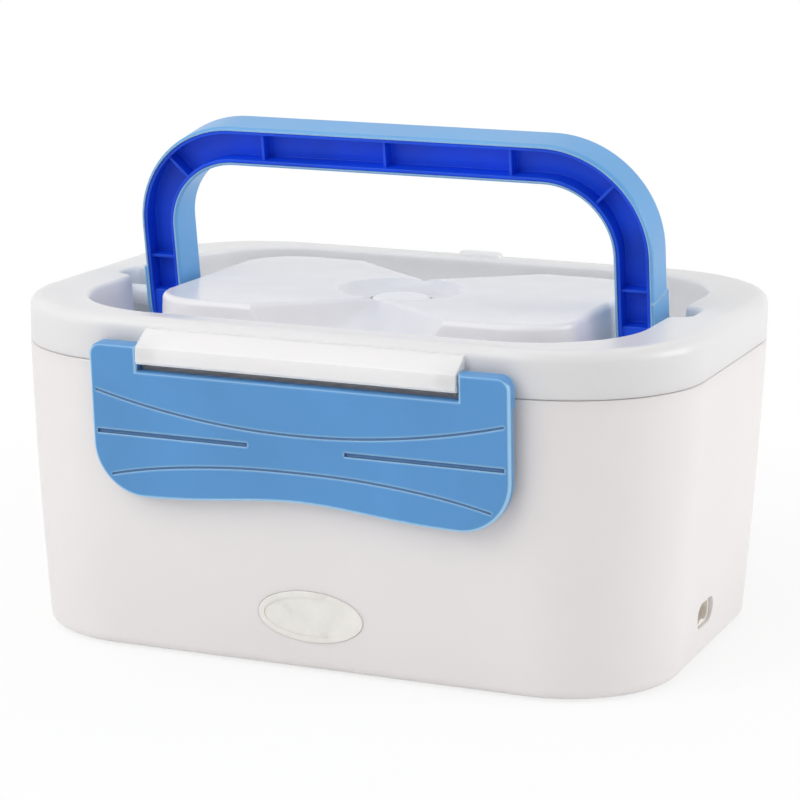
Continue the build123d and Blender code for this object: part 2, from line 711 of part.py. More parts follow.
with BuildPart() as lid_shell:
    with BuildSketch(Plane.XY.offset(lid_z)):
        lid_outline()
    extrude(amount=lid_height)
    fillet(lid_shell.faces().sort_by(Axis.Z)[-1].edges(), radius=lid_round)
    chamfer(lid_shell.faces().sort_by(Axis.Z)[0].edges(), length=seam_break)
    # Low thumb pad on the rear rim.
    with BuildSketch(Plane.XY.offset(rim_z - 1.0)):
        with Locations((0, groove_half_width + rim_round + thumb_width / 2)):
            SlotOverall(thumb_length, thumb_width)
    extrude(amount=1.0 + thumb_rise)
    fillet(lid_shell.faces().sort_by(Axis.Z)[-1].edges(), radius=thumb_round)
    # Sunken middle, which reaches below the seam into the tray.
    with BuildSketch(Plane.XY.offset(plug_z)):
        plug_outline()
    extrude(amount=lid_z - plug_z + 1.0)
    with BuildSketch(Plane.XY.offset(rim_z)):
        RectangleRounded(2 * groove_half_length, 2 * groove_half_width, groove_corner)
    extrude(amount=groove_floor - rim_z, taper=groove_draft, mode=Mode.SUBTRACT)
    with BuildSketch(Plane.XY.offset(groove_floor)):
        RectangleRounded(2 * pocket_reach, 2 * pocket_half, pocket_corner)
    extrude(amount=rim_z - groove_floor, mode=Mode.SUBTRACT)
    pocket_mouths = lid_shell.edges().filter_by(
        lambda e: abs(abs(e.center().Y) - pocket_half) < 0.5
        and abs(e.center().X) < groove_half_length
        and abs(e.tangent_at(0.5).Z) > 0.9
    )
    fillet(pocket_mouths, radius=pocket_lip)
    rim_edges = lid_shell.edges().filter_by_position(Axis.Z, rim_z - 0.01, rim_z + 0.01)
    inner_rim = rim_edges.filter_by(
        lambda e: abs(e.center().Y) < groove_half_width + 0.5
        and abs(e.center().X) < pocket_reach + 0.5
    )
    fillet(inner_rim, radius=rim_round)
    # Hollow rim, open below.
    with BuildSketch(Plane.XY.offset(lid_z - 1.0)):
        lid_outline(lid_wall)
        with BuildSketch(mode=Mode.SUBTRACT):
            plug_outline()
    extrude(amount=lid_height + 1.0 - lid_top, mode=Mode.SUBTRACT)
    # Stubs across the pockets, which the handle turns on.
    for side in (-1, 1):
        with BuildSketch(Plane.YZ.offset(side * (pocket_reach + pocket_wall / 2))):
            with Locations((0, pivot_z)):
                Circle(stub_radius)
        extrude(amount=side * (stub_end - pocket_reach - pocket_wall / 2))
    # Ribs in the hollow rim, which the seal carrier is pushed up against.
    rib_length = 6.0
    rib_spots = [(side_x * x, side_y * (groove_half_width + groove_wall + rib_length / 2 - 0.2))
                 for x in (10.0, 40.0) for side_x in (-1, 1) for side_y in (-1, 1)]
    with BuildSketch(Plane.XY.offset(carrier_top)):
        with Locations(*rib_spots):
            Rectangle(rib_thickness, rib_length)
    extrude(amount=rim_z - lid_top / 2 - carrier_top)
    end_spots = [(side_x * (groove_half_length + groove_wall + 7.5), side_y * 26.0)
                 for side_x in (-1, 1) for side_y in (-1, 1)]
    with BuildSketch(Plane.XY.offset(carrier_top)):
        with Locations(*end_spots):
            Rectangle(15.4, rib_thickness)
    extrude(amount=rim_z - lid_top / 2 - carrier_top)
    # Wall of the cutlery well, which the cover drops over.
    with BuildSketch(Plane.XY.offset(groove_floor - 0.5)):
        inset = cover_skin + fit
        RectangleRounded(
            2 * (cover_half_length - inset), 2 * (cover_half_width - inset), cover_corner - inset
        )
        inset = cover_skin + fit + well_wall
        RectangleRounded(
            2 * (cover_half_length - inset),
            2 * (cover_half_width - inset),
            cover_corner - inset,
            mode=Mode.SUBTRACT,
        )
        Rectangle(2 * well_opening, 2 * cover_half_width, mode=Mode.SUBTRACT)
    extrude(amount=well_height + 0.5)
    # Vent tube.
    with BuildSketch(Plane.XY.offset(groove_floor - 0.5)):
        Circle(vent_bore + vent_wall)
    extrude(amount=vent_height + 0.5)
    with BuildSketch(Plane.XY.offset(plug_z - 1.0)):
        Circle(vent_bore)
    extrude(amount=groove_skin + vent_height + 2.0, mode=Mode.SUBTRACT)
    # Bars that the clips hang from, with a bore in each end.
    for side in (-1, 1):
        with BuildSketch(Plane.YZ.offset(-bar_half)):
            with BuildLine():
                hinge_bar_profile(side)
            make_face()
        extrude(amount=2 * bar_half)
        for end in (-1, 1):
            with BuildSketch(Plane.YZ.offset(end * (bar_half + 0.5))):
                with Locations((side * (half_width + clip_pin_reach), lid_z + clip_pin_height)):
                    Circle(clip_pin_radius + clip_pin_clearance)
            extrude(amount=-end * (clip_pin_length + 0.5), mode=Mode.SUBTRACT)
save(lid_shell, "lid_shell")

with BuildPart() as seal_carrier:
    with BuildSketch(Plane.XY.offset(carrier_z)):
        lid_outline(carrier_inset)
        with BuildSketch(mode=Mode.SUBTRACT):
            plug_outline(fit)
    extrude(amount=carrier_thickness)
save(seal_carrier, "seal_carrier")

with BuildPart() as lid_seal:
    with BuildSketch(Plane.XY.offset(tub_top + tray_rim)):
        lid_outline(seal_inset)
        with BuildSketch(mode=Mode.SUBTRACT):
            lid_outline(seal_inset + seal_width)
    extrude(amount=seal_height)
    # The lip that meets the tray is thinner than the seal's foot.
    with BuildSketch(Plane.XY.offset(tub_top + tray_rim)):
        lid_outline(seal_inset + 0.9)
        with BuildSketch(mode=Mode.SUBTRACT):
            lid_outline(seal_inset + seal_width - 0.9)
    extrude(amount=0.7, mode=Mode.SUBTRACT)
save(lid_seal, "lid_seal")

with BuildPart() as lid_liner:
    with BuildSketch(Plane.XY.offset(plug_z - liner_thickness)):
        plug_outline(-0.3)
        Circle(vent_bore, mode=Mode.SUBTRACT)
    extrude(amount=liner_thickness)
save(lid_liner, "lid_liner")

# ---- Cover over the cutlery well ----------------------------------------------------------
cover_top = rim_z + cover_rise
cover_height = cover_top - groove_floor


def cover_block(inset, low, cuts):
    """The cover's form without its dish, moved in by inset, from low up, less the cuts."""
    with BuildPart() as block:
        with BuildSketch(Plane.XY.offset(low)):
            grow = math.tan(math.radians(cover_draft)) * (cover_top - low)
            RectangleRounded(
                2 * (cover_half_length - inset + grow),
                2 * (cover_half_width - inset + grow),
                cover_corner - inset + grow,
            )
        extrude(amount=cover_top - inset - low, taper=cover_draft)
        for cut in cuts:
            add(cut, mode=Mode.SUBTRACT)
    return block.part


def scoop(side, grow):
    """Cone that cuts a finger scoop down to one long side, larger by grow all round."""
    half_angle = math.radians(scoop_half_angle)
    rise = math.radians(scoop_rise)
    length = 60.0
    back_off = grow / math.sin(half_angle)
    apex_y = side * (dish_radius - scoop_overlap - back_off * math.cos(rise))
    apex_z = cover_top - back_off * math.sin(rise)
    axis = Vector(0, side * math.cos(rise), math.sin(rise))
    middle = Vector(0, apex_y, apex_z) + axis * (length / 2)
    with BuildPart() as cone:
        with Locations(Plane(origin=middle, x_dir=(1, 0, 0), z_dir=axis)):
            Cone(0, length * math.tan(half_angle), length)
    return cone.part


def dish(grow):
    """Round dish in the middle of the cover, larger by grow all round."""
    floor_z = cover_top - dish_depth - grow
    top_z = cover_top + 3.0
    with BuildPart() as bowl:
        with BuildSketch(Plane.XZ):
            with BuildLine():
                Line((0, floor_z), (dish_floor_radius + grow, floor_z))
                TangentArc(
                    (dish_floor_radius + grow, floor_z),
                    (dish_radius + grow, cover_top),
                    tangent=(1, 0),
                )
                Line(
                    (dish_radius + grow, cover_top),
                    (dish_radius + grow, top_z),
                )
                Line((dish_radius + grow, top_z), (0, top_z))
                Line((0, top_z), (0, floor_z))
            make_face()
        revolve(axis=Axis.Z)
    return bowl.part


cover_form = cover_block(0.0, groove_floor, [scoop(-1, 0.0), scoop(1, 0.0)])
cover_hollow = cover_block(
    cover_skin,
    groove_floor - 1.0,
    [scoop(-1, cover_skin), scoop(1, cover_skin), dish(cover_skin)],
)

with BuildPart() as spoon_cover:
    add(cover_form)
    fillet(spoon_cover.faces().sort_by(Axis.Z)[-1].edges(), radius=cover_round)
    add(dish(0.0), mode=Mode.SUBTRACT)
    add(cover_hollow, mode=Mode.SUBTRACT)
    # Hole that the vent plug's knob stands in.
    with BuildSketch(Plane.XY.offset(groove_floor)):
        Circle(knob_radius + knob_gap)
    extrude(amount=cover_height + 5.0, mode=Mode.SUBTRACT)
save(spoon_cover, "spoon_cover")

# ---- Vent plug ---------------------------------------------------------------------------------
knob_z = groove_floor + vent_height
with BuildPart() as vent_plug:
    with BuildSketch(Plane.XZ):
        with BuildLine():
            Line((0, knob_z), (knob_radius - 0.6, knob_z))
            Line((knob_radius - 0.6, knob_z), (knob_radius, knob_z + 0.6))
            Line((knob_radius, knob_z + 0.6), (knob_radius, knob_z + knob_height - 1.6))
            ThreePointArc(
                (knob_radius, knob_z + knob_height - 1.6),
                (knob_radius - 0.6, knob_z + knob_height - 0.7),
                (knob_radius - 1.8, knob_z + knob_height - 0.3),
            )
            Line((knob_radius - 1.8, knob_z + knob_height - 0.3), (0, knob_z + knob_height))
            Line((0, knob_z + knob_height), (0, knob_z))
        make_face()
    revolve(axis=Axis.Z)
    with BuildSketch(Plane.XY.offset(knob_z - plug_length)):
        Circle(vent_bore - plug_clearance)
    extrude(amount=plug_length)
    chamfer(vent_plug.edges().group_by(Axis.Z)[0], length=1.2)
save(vent_plug, "vent_plug")

# ---- Spoon -----------------------------------------------------------------------------------------
spoon_rim_z = groove_floor + spoon_bowl_depth + 0.1
spoon_bowl_x = -cover_half_length + spoon_end_gap + spoon_bowl_length / 2
spoon_end = cover_half_length - spoon_tail_gap
with BuildPart() as spoon:
    with BuildSketch(Plane.XY.offset(spoon_rim_z - spoon_bowl_depth)):
        with Locations((spoon_bowl_x, spoon_y)):
            Ellipse(spoon_bowl_length / 2, spoon_bowl_width / 2)
    extrude(amount=spoon_bowl_depth)
    fillet(spoon.faces().sort_by(Axis.Z)[0].edges(), radius=4.6)
    with BuildSketch(Plane.XY.offset(spoon_rim_z - spoon_bowl_depth + spoon_wall)):
        with Locations((spoon_bowl_x, spoon_y)):
            Ellipse(spoon_bowl_length / 2 - spoon_wall, spoon_bowl_width / 2 - spoon_wall)
    extrude(amount=spoon_bowl_depth, mode=Mode.SUBTRACT)
    neck_x = spoon_bowl_x + spoon_bowl_length / 2 - 0.7
    with BuildSketch(Plane.XY.offset(spoon_rim_z - 2.2)):
        with BuildLine():
            Polyline(
                (neck_x, spoon_y - 3.2),
                (neck_x + 14.0, spoon_y - 3.2),
                (spoon_end - 30.0, spoon_y - spoon_shaft / 2),
                (spoon_end, spoon_y - spoon_shaft / 2),
                (spoon_end, spoon_y + spoon_shaft / 2),
                (spoon_end - 30.0, spoon_y + spoon_shaft / 2),
                (neck_x + 14.0, spoon_y + 3.2),
                (neck_x, spoon_y + 3.2),
                close=True,
            )
        make_face()
    extrude(amount=2.2)
    fillet(spoon.edges().filter_by(Axis.Z).sort_by(Axis.X)[-2:], radius=3.0)
save(spoon, "spoon")

# ---- Handle -----------------------------------------------------------------------------------------
lean = math.radians(handle_lean)
handle_plane = Plane(
    origin=(0, 0, pivot_z), x_dir=(1, 0, 0), z_dir=(0, -math.cos(lean), -math.sin(lean))
)
handle_side = Plane(
    origin=(0, 0, pivot_z), x_dir=(0, -math.cos(lean), -math.sin(lean)), z_dir=(-1, 0, 0)
)
inner_radius = handle_outer_radius - handle_bar
channel_floor = handle_depth / 2 - handle_channel
leg_end = -handle_depth / 2


def arch(inset, foot):
    """The handle seen from the front, moved in by inset all round, down to foot."""
    half, high = handle_half - inset, handle_rise - inset
    with Locations((0, foot)):
        RectangleRounded(2 * half, 2 * (high - foot), handle_outer_radius - inset)
        half, high = half - handle_bar + 2 * inset, high - handle_bar + 2 * inset
        RectangleRounded(2 * half, 2 * (high - foot), inner_radius + inset, mode=Mode.SUBTRACT)
    with Locations((0, foot - handle_rise)):
        Rectangle(2 * handle_half + 2, 2 * handle_rise, mode=Mode.SUBTRACT)


# Blind holes for the lid's stubs.
with BuildPart() as stub_holes:
    for side in (-1, 1):
        with BuildSketch(Plane.YZ.offset(side * (stub_end - stub_tip_gap))):
            with Locations((0, pivot_z)):
                Circle(stub_radius + stub_clearance)
        extrude(amount=side * handle_bar)

with BuildPart() as leg_ends:
    with BuildSketch(handle_side):
        with Locations((0, handle_rise / 2)):
            Rectangle(handle_depth, handle_rise)
        Circle(handle_depth / 2)
    extrude(amount=handle_half + 5.0, both=True)

with BuildPart() as handle_frame:
    with BuildSketch(handle_plane):
        arch(0.0, leg_end)
    extrude(amount=handle_depth / 2, both=True)
    long_edges = handle_frame.edges().filter_by(lambda e: e.length > 20)
    fillet(long_edges, radius=handle_edge)
    # Pads on the outer faces of the legs, beside the pivot.
    with BuildSketch(handle_plane):
        for side in (-1, 1):
            with Locations((side * (handle_half + pad_proud - 1.0), (pad_rise + leg_end) / 2)):
                Rectangle(2.0, pad_rise - leg_end)
    extrude(amount=handle_depth / 2, both=True)
    # Legs end in a half round about the pivot.
    add(leg_ends.part, mode=Mode.INTERSECT)
    # Channel, open to the front and at the legs' ends.
    with BuildSketch(handle_plane.offset(channel_floor)):
        arch(handle_flange, leg_end - 1.0)
    extrude(amount=handle_channel, mode=Mode.SUBTRACT)
    add(stub_holes.part, mode=Mode.SUBTRACT)
save(handle_frame, "handle_frame")

bar_middle = handle_rise - handle_bar / 2
leg_middle = handle_half - handle_bar / 2
bend_middle = (handle_outer_radius + inner_radius) / 2
rib_span = handle_bar - 2 * handle_flange - 2 * fit

with BuildPart() as handle_inlay:
    with BuildSketch(handle_plane.offset(channel_floor)):
        arch(handle_flange + fit / 2, leg_end - 1.0)
    extrude(amount=handle_channel - inlay_recess)
    with BuildSketch(handle_plane.offset(channel_floor + inlay_floor)):
        arch(handle_flange + fit / 2 + inlay_wall, inlay_block)
    extrude(amount=handle_channel, mode=Mode.SUBTRACT)
    # Blocks around the stubs, set back from the front.
    with BuildSketch(handle_plane.offset(handle_depth / 2 - block_recess)):
        arch(handle_flange + fit / 2 + inlay_wall, leg_end - 1.0)
    extrude(amount=handle_channel, mode=Mode.SUBTRACT)
    # Ribs across the channel: on the bar, across the bends and on the legs.
    with BuildSketch(handle_plane.offset(channel_floor)):
        with Locations((-inlay_rib_x, bar_middle), (0, bar_middle), (inlay_rib_x, bar_middle)):
            Rectangle(inlay_rib, rib_span)
        for side in (-1, 1):
            with Locations((side * leg_middle, inlay_rib_v)):
                Rectangle(rib_span, inlay_rib)
            centre = handle_half - handle_outer_radius
            with Locations((side * centre, handle_rise - handle_outer_radius)):
                with PolarLocations(bend_middle, 1, start_angle=90 - side * inlay_bend_angle):
                    Rectangle(rib_span, inlay_rib)
    extrude(amount=inlay_floor + inlay_rib_height)
    add(leg_ends.part, mode=Mode.INTERSECT)
    add(stub_holes.part, mode=Mode.SUBTRACT)
save(handle_inlay, "handle_inlay")

# ---- Clips -----------------------------------------------------------------------------------------
clip_lean = math.atan(side_draft / body_height)
clip_pin_z = lid_z + clip_pin_height
clip_pin_y = half_width + clip_pin_reach
clip_z_per_v = math.cos(clip_lean)
hook_v = (ledge_z - hook_drop - clip_pin_z) / clip_z_per_v
hook_tip = (
    (ledge_y - clip_pin_y) * math.cos(clip_lean)
    - (ledge_z - clip_pin_z) * math.sin(clip_lean)
    + hook_gap
)
plate_back = clip_front - clip_plate
pin_inner = bar_half - clip_pin_length + 0.4
pin_outer = clip_notch + 9.5


def clip_plane(side):
    """Plane through a clip's pin, along its plate; local Y is up, local Z is outward."""
    return Plane(
        origin=(0, side * clip_pin_y, clip_pin_z),
        x_dir=(-side, 0, 0),
        z_dir=(0, side * math.cos(clip_lean), -math.sin(clip_lean)),
    )


def clip_outline(inset):
    """Plate of the clip under its ears, moved in by inset."""
    half, low = clip_half - inset, -clip_length + inset
    corner, top = clip_corner - inset, -clip_notch_drop - inset
    with BuildSketch() as outline:
        with BuildLine():
            TangentArc((-half, low + corner), (-half + corner, low), tangent=(0, -1))
            Spline(
                (-half + corner, low),
                (0, low + clip_arch),
                (half - corner, low),
                tangents=((1, 0), (1, 0)),
            )
            TangentArc((half - corner, low), (half, low + corner), tangent=(1, 0))
            Polyline((half, low + corner), (half, top), (-half, top), (-half, low + corner))
        make_face()
    return outline.sketch


def groove(points, width):
    """A line engraved on the clip, as a strip of even height through the points."""
    with BuildSketch() as strip:
        with BuildLine():
            Spline(*[(x, v - width / 2) for x, v in points])
            Spline(*[(x, v + width / 2) for x, v in points])
            for x, v in (points[0], points[-1]):
                Line((x, v - width / 2), (x, v + width / 2))
        make_face()
    return strip.sketch


line_end = clip_half - line_margin
upper_line = [(line_end, -12.9), (52.0, -17.3), (34.5, -20.1), (17.0, -21.8), (0.0, -22.3)]
lower_line = [(line_end - 4.6, -41.6), (52.6, -38.7), (35.0, -36.4), (17.5, -35.1), (0.0, -34.8)]
band_v = -27.0


def both_ways(points):
    """The points of a half line together with their mirror images."""
    return points + [(-x, v) for x, v in reversed(points[:-1])]


def build_clip(side):
    """One clip, for the front (-1) or the rear (1)."""
    plane = clip_plane(side)
    ear_middle = (clip_half + clip_notch) / 2
    with BuildPart() as clip:
        with BuildSketch(plane.offset(-clip_rim_back)):
            add(clip_outline(0.0))
        extrude(amount=clip_rim_back + clip_front)
        # Ears beside the hinge bar.
        with BuildSketch(plane.offset(-clip_back)):
            with Locations((-ear_middle, clip_ear), (ear_middle, clip_ear)):
                Rectangle(
                    clip_half - clip_notch,
                    clip_ear + clip_notch_drop + clip_ear_root,
                    align=(Align.CENTER, Align.MAX),
                )
        extrude(amount=clip_back + clip_front)
        ear_corners = clip.edges().filter_by(
            lambda e: abs(e.tangent_at(0.5).Y) > 0.9
            and abs(e.center().X) > clip_half - 0.1
            and e.center().Z > clip_pin_z
        )
        fillet(ear_corners, radius=clip_ear_corner)
        front_face = clip.faces().filter_by(lambda f: f.normal_at().Y * side > 0.9)[0]
        fillet(front_face.edges(), radius=clip_edge)
        # Hollow back, with the hook that reaches under the catch ledge.
        with BuildSketch(plane.offset(-clip_rim_back)):
            add(clip_outline(clip_rim))
        extrude(amount=clip_rim_back + plate_back, mode=Mode.SUBTRACT)
        with BuildSketch(plane.offset(hook_tip)):
            with Locations((0, hook_v - hook_thickness / 2)):
                Rectangle(2 * hook_half, hook_thickness)
        extrude(amount=plate_back - hook_tip)
        # Engraved lines on the front.
        with BuildSketch(plane.offset(clip_front - line_depth)):
            add(groove(both_ways(upper_line), line_width))
            add(groove(both_ways(lower_line), line_width))
        extrude(amount=2 * line_depth, mode=Mode.SUBTRACT)
        with BuildSketch(plane.offset(clip_front - band_depth)):
            for end in (-1, 1):
                with Locations((end * (line_end + band_inner) / 2, band_v)):
                    Rectangle(line_end - band_inner, band_width)
        extrude(amount=2 * band_depth, mode=Mode.SUBTRACT)
        # Blind holes for the pins.
        for end in (-1, 1):
            with BuildSketch(Plane.YZ.offset(end * (clip_notch - 1.0))):
                with Locations((side * clip_pin_y, clip_pin_z)):
                    Circle(clip_pin_radius)
            extrude(amount=end * (pin_outer - clip_notch + 1.0), mode=Mode.SUBTRACT)
    return clip


def build_pins(side):
    """The two pins of a clip."""
    with BuildPart() as pins:
        for end in (-1, 1):
            with BuildSketch(Plane.YZ.offset(end * pin_inner)):
                with Locations((side * clip_pin_y, clip_pin_z)):
                    Circle(clip_pin_radius)
            extrude(amount=end * (pin_outer - pin_inner))
    return pins


save(build_clip(-1), "front_clip")
save(build_pins(-1), "front_clip_pins")
save(build_clip(1), "rear_clip")
save(build_pins(1), "rear_clip_pins")
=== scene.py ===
"""Looks of an electric lunch box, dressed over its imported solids.

The box is a milky white shell and lid, with a light blue handle that has a
dark blue inlay, light blue clips front and rear, and a glossy cover over the
cutlery well. Everything is in metres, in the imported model's own frame.
"""

import logging
from dataclasses import dataclass, field
from enum import Enum

import bpy
from mathutils import Matrix, Vector


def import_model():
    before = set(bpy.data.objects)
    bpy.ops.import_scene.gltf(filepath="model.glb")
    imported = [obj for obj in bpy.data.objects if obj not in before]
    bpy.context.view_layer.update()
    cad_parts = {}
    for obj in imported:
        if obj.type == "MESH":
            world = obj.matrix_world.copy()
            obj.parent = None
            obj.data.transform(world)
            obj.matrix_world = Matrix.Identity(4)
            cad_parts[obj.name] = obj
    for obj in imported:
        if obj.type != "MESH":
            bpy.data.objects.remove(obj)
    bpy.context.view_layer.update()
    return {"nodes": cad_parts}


Colour = tuple[float, float, float]
Point = tuple[float, float, float]

log = logging.getLogger("lunch_box")


def linear(colour: Colour) -> tuple[float, float, float, float]:
    """Turn a colour as seen on screen, 0 to 1, into the renderer's linear values.

    Args:
        colour: Red, green and blue as they look on screen.

    Returns:
        The linear colour with an alpha of 1.
    """
    parts = [c / 12.92 if c <= 0.04045 else ((c + 0.055) / 1.055) ** 2.4 for c in colour]
    return (parts[0], parts[1], parts[2], 1.0)


def shade(colour: Colour, factor: float) -> Colour:
    """Scale a colour, kept between black and white.

    Args:
        colour: The colour to scale.
        factor: What to multiply it by.

    Returns:
        The scaled colour.
    """
    return tuple(min(max(c * factor, 0.0), 1.0) for c in colour)


class Ray(Enum):
    """Kinds of ray that find the surroundings white."""

    CAMERA = "Is Camera Ray"
    GLOSSY = "Is Glossy Ray"
    TRANSMISSION = "Is Transmission Ray"


class Nodes:
    """A material's node tree, with the few moves that the finishes share.

    Attributes:
        FLAT: How well the eased and true directions agree on a flat face.
        CORNER: How well they agree right on an edge.
        OPEN: Share of sky that an open face sees.
        SHUT: Share that the bottom of a groove sees.
    """

    FLAT = 0.995
    CORNER = 0.85
    OPEN = 0.92
    SHUT = 0.35

    def __init__(self, name: str) -> None:
        """Start an empty material with a principled shader and an output."""
        self.material = bpy.data.materials.new(name)
        self.material.use_nodes = True
        self.tree = self.material.node_tree
        self.tree.nodes.clear()
        self.output = self.tree.nodes.new("ShaderNodeOutputMaterial")
        self.shader = self.tree.nodes.new("ShaderNodeBsdfPrincipled")
        self.join(self.shader.outputs["BSDF"], self.output.inputs["Surface"])
        self.place = self.tree.nodes.new("ShaderNodeTexCoord").outputs["Object"]

    def join(self, source: bpy.types.NodeSocket, target: bpy.types.NodeSocket) -> None:
        """Link one socket to another."""
        self.tree.links.new(source, target)

    def noise(self, size: float, detail: float = 2.0, stretch: Point = (1, 1, 1)) -> bpy.types.NodeSocket:
        """Add soft noise on the piece's own coordinates.

        Args:
            size: Size of the noise's blotches, in metres.
            detail: How many finer layers it has.
            stretch: How much finer it runs along each axis.

        Returns:
            The noise's value.
        """
        mapping = self.tree.nodes.new("ShaderNodeMapping")
        mapping.inputs["Scale"].default_value = stretch
        self.join(self.place, mapping.inputs["Vector"])
        noise = self.tree.nodes.new("ShaderNodeTexNoise")
        noise.inputs["Scale"].default_value = 1.0 / size
        noise.inputs["Detail"].default_value = detail
        self.join(mapping.outputs["Vector"], noise.inputs["Vector"])
        return noise.outputs["Fac"]

    def spread(self, value: bpy.types.NodeSocket, low: float, high: float) -> bpy.types.NodeSocket:
        """Stretch a noise value's middle range over low to high.

        Args:
            value: The noise.
            low: What its low values become.
            high: What its high values become.

        Returns:
            The stretched value.
        """
        node = self.tree.nodes.new("ShaderNodeMapRange")
        node.inputs["From Min"].default_value = 0.3
        node.inputs["From Max"].default_value = 0.7
        node.inputs["To Min"].default_value = low
        node.inputs["To Max"].default_value = high
        self.join(value, node.inputs["Value"])
        return node.outputs["Result"]

    def tint(self, value: bpy.types.NodeSocket, dark: Colour, light: Colour) -> bpy.types.NodeSocket:
        """Turn a value into a colour between two.

        Args:
            value: The value, 0 to 1.
            dark: Colour at its low end.
            light: Colour at its high end.

        Returns:
            The colour.
        """
        ramp = self.tree.nodes.new("ShaderNodeValToRGB")
        ramp.color_ramp.elements[0].position = 0.3
        ramp.color_ramp.elements[0].color = linear(dark)
        ramp.color_ramp.elements[1].position = 0.7
        ramp.color_ramp.elements[1].color = linear(light)
        self.join(value, ramp.inputs["Fac"])
        return ramp.outputs["Color"]

    def over(
        self, share: bpy.types.NodeSocket, colour: Colour, under: bpy.types.NodeSocket
    ) -> bpy.types.NodeSocket:
        """Lay a colour over another where a value is high.

        Args:
            share: How much of the upper colour shows, 0 to 1.
            colour: The upper colour.
            under: The lower colour.

        Returns:
            The mixed colour.
        """
        mix = self.tree.nodes.new("ShaderNodeMix")
        mix.data_type = "RGBA"
        self.join(share, mix.inputs["Factor"])
        self.join(under, mix.inputs["A"])
        mix.inputs["B"].default_value = linear(colour)
        return mix.outputs["Result"]

    def rounded(self, radius: float) -> bpy.types.NodeSocket:
        """Give the surface's direction as if its edges were eased.

        Args:
            radius: Radius of the eased edge, in metres.

        Returns:
            The normal.
        """
        bevel = self.tree.nodes.new("ShaderNodeBevel")
        bevel.samples = 6
        bevel.inputs["Radius"].default_value = radius
        return bevel.outputs["Normal"]

    def edges(self, eased: bpy.types.NodeSocket, strength: float) -> bpy.types.NodeSocket:
        """Give how near an edge a point is; it masks the painted edge highlight.

        Args:
            eased: The normal with eased edges.
            strength: The value right on an edge.

        Returns:
            The value, 0 away from edges.
        """
        true = self.tree.nodes.new("ShaderNodeNewGeometry").outputs["Normal"]
        match = self.tree.nodes.new("ShaderNodeVectorMath")
        match.operation = "DOT_PRODUCT"
        self.join(eased, match.inputs[0])
        self.join(true, match.inputs[1])
        node = self.tree.nodes.new("ShaderNodeMapRange")
        node.inputs["From Min"].default_value = self.FLAT
        node.inputs["From Max"].default_value = self.CORNER
        node.inputs["To Min"].default_value = 0.0
        node.inputs["To Max"].default_value = strength
        self.join(match.outputs["Value"], node.inputs["Value"])
        return node.outputs["Result"]

    def lips(self, strength: float) -> bpy.types.NodeSocket:
        """Give where a plate that faces along Y rounds over to its sides and its foot; it masks a painted
        highlight there.

        Args:
            strength: The value on the rounded edge.

        Returns:
            The value, 0 on the flat faces, the sides and what faces up.
        """
        facing = self.tree.nodes.new("ShaderNodeTexCoord").outputs["Normal"]
        split = self.tree.nodes.new("ShaderNodeSeparateXYZ")
        self.join(facing, split.inputs["Vector"])
        flat = self.tree.nodes.new("ShaderNodeMath")
        flat.operation = "ABSOLUTE"
        self.join(split.outputs["Y"], flat.inputs[0])
        ramp = self.tree.nodes.new("ShaderNodeValToRGB")
        stops = ramp.color_ramp.elements
        stops[0].position, stops[0].color = 0.05, (0, 0, 0, 1)
        stops[1].position, stops[1].color = 0.985, (0, 0, 0, 1)
        for place in (0.25, 0.9):
            stops.new(place).color = (strength, strength, strength, 1)
        self.join(flat.outputs["Value"], ramp.inputs["Fac"])
        rise = self.tree.nodes.new("ShaderNodeMapRange")
        rise.inputs["From Min"].default_value = 0.6
        rise.inputs["From Max"].default_value = 0.3
        self.join(split.outputs["Z"], rise.inputs["Value"])
        both = self.tree.nodes.new("ShaderNodeMath")
        both.operation = "MULTIPLY"
        self.join(ramp.outputs["Color"], both.inputs[0])
        self.join(rise.outputs["Result"], both.inputs[1])
        return both.outputs["Value"]

    def creases(self, depth: float, strength: float) -> bpy.types.NodeSocket:
        """Give how shut in a point lies among its own piece's faces; it masks the shading painted into
        hollows.

        Args:
            depth: Width of groove that counts, in metres.
            strength: The value at the bottom.

        Returns:
            The value, 0 on open faces.
        """
        cover = self.tree.nodes.new("ShaderNodeAmbientOcclusion")
        cover.samples = 8
        cover.only_local = True
        cover.inputs["Distance"].default_value = depth
        node = self.tree.nodes.new("ShaderNodeMapRange")
        node.inputs["From Min"].default_value = self.OPEN
        node.inputs["From Max"].default_value = self.SHUT
        node.inputs["To Min"].default_value = 0.0
        node.inputs["To Max"].default_value = strength
        self.join(cover.outputs["AO"], node.inputs["Value"])
        return node.outputs["Result"]

    def bump(
        self,
        heights: list[tuple[bpy.types.NodeSocket, float]],
        normal: bpy.types.NodeSocket | None = None,
    ) -> None:
        """Give the shader a bumpy surface.

        Args:
            heights: Each height value, 0 to 1, with its depth in metres.
            normal: The direction that the bumps start from.
        """
        for value, depth in heights:
            node = self.tree.nodes.new("ShaderNodeBump")
            node.inputs["Strength"].default_value = 1.0
            node.inputs["Distance"].default_value = depth
            self.join(value, node.inputs["Height"])
            if normal is not None:
                self.join(normal, node.inputs["Normal"])
            normal = node.outputs["Normal"]
        if normal is not None:
            self.join(normal, self.shader.inputs["Normal"])

    def set(self, **values: float) -> None:
        """Set the shader's own sockets; a name's underscores stand for spaces."""
        for name, value in values.items():
            self.shader.inputs[name.replace("_", " ")].default_value = value


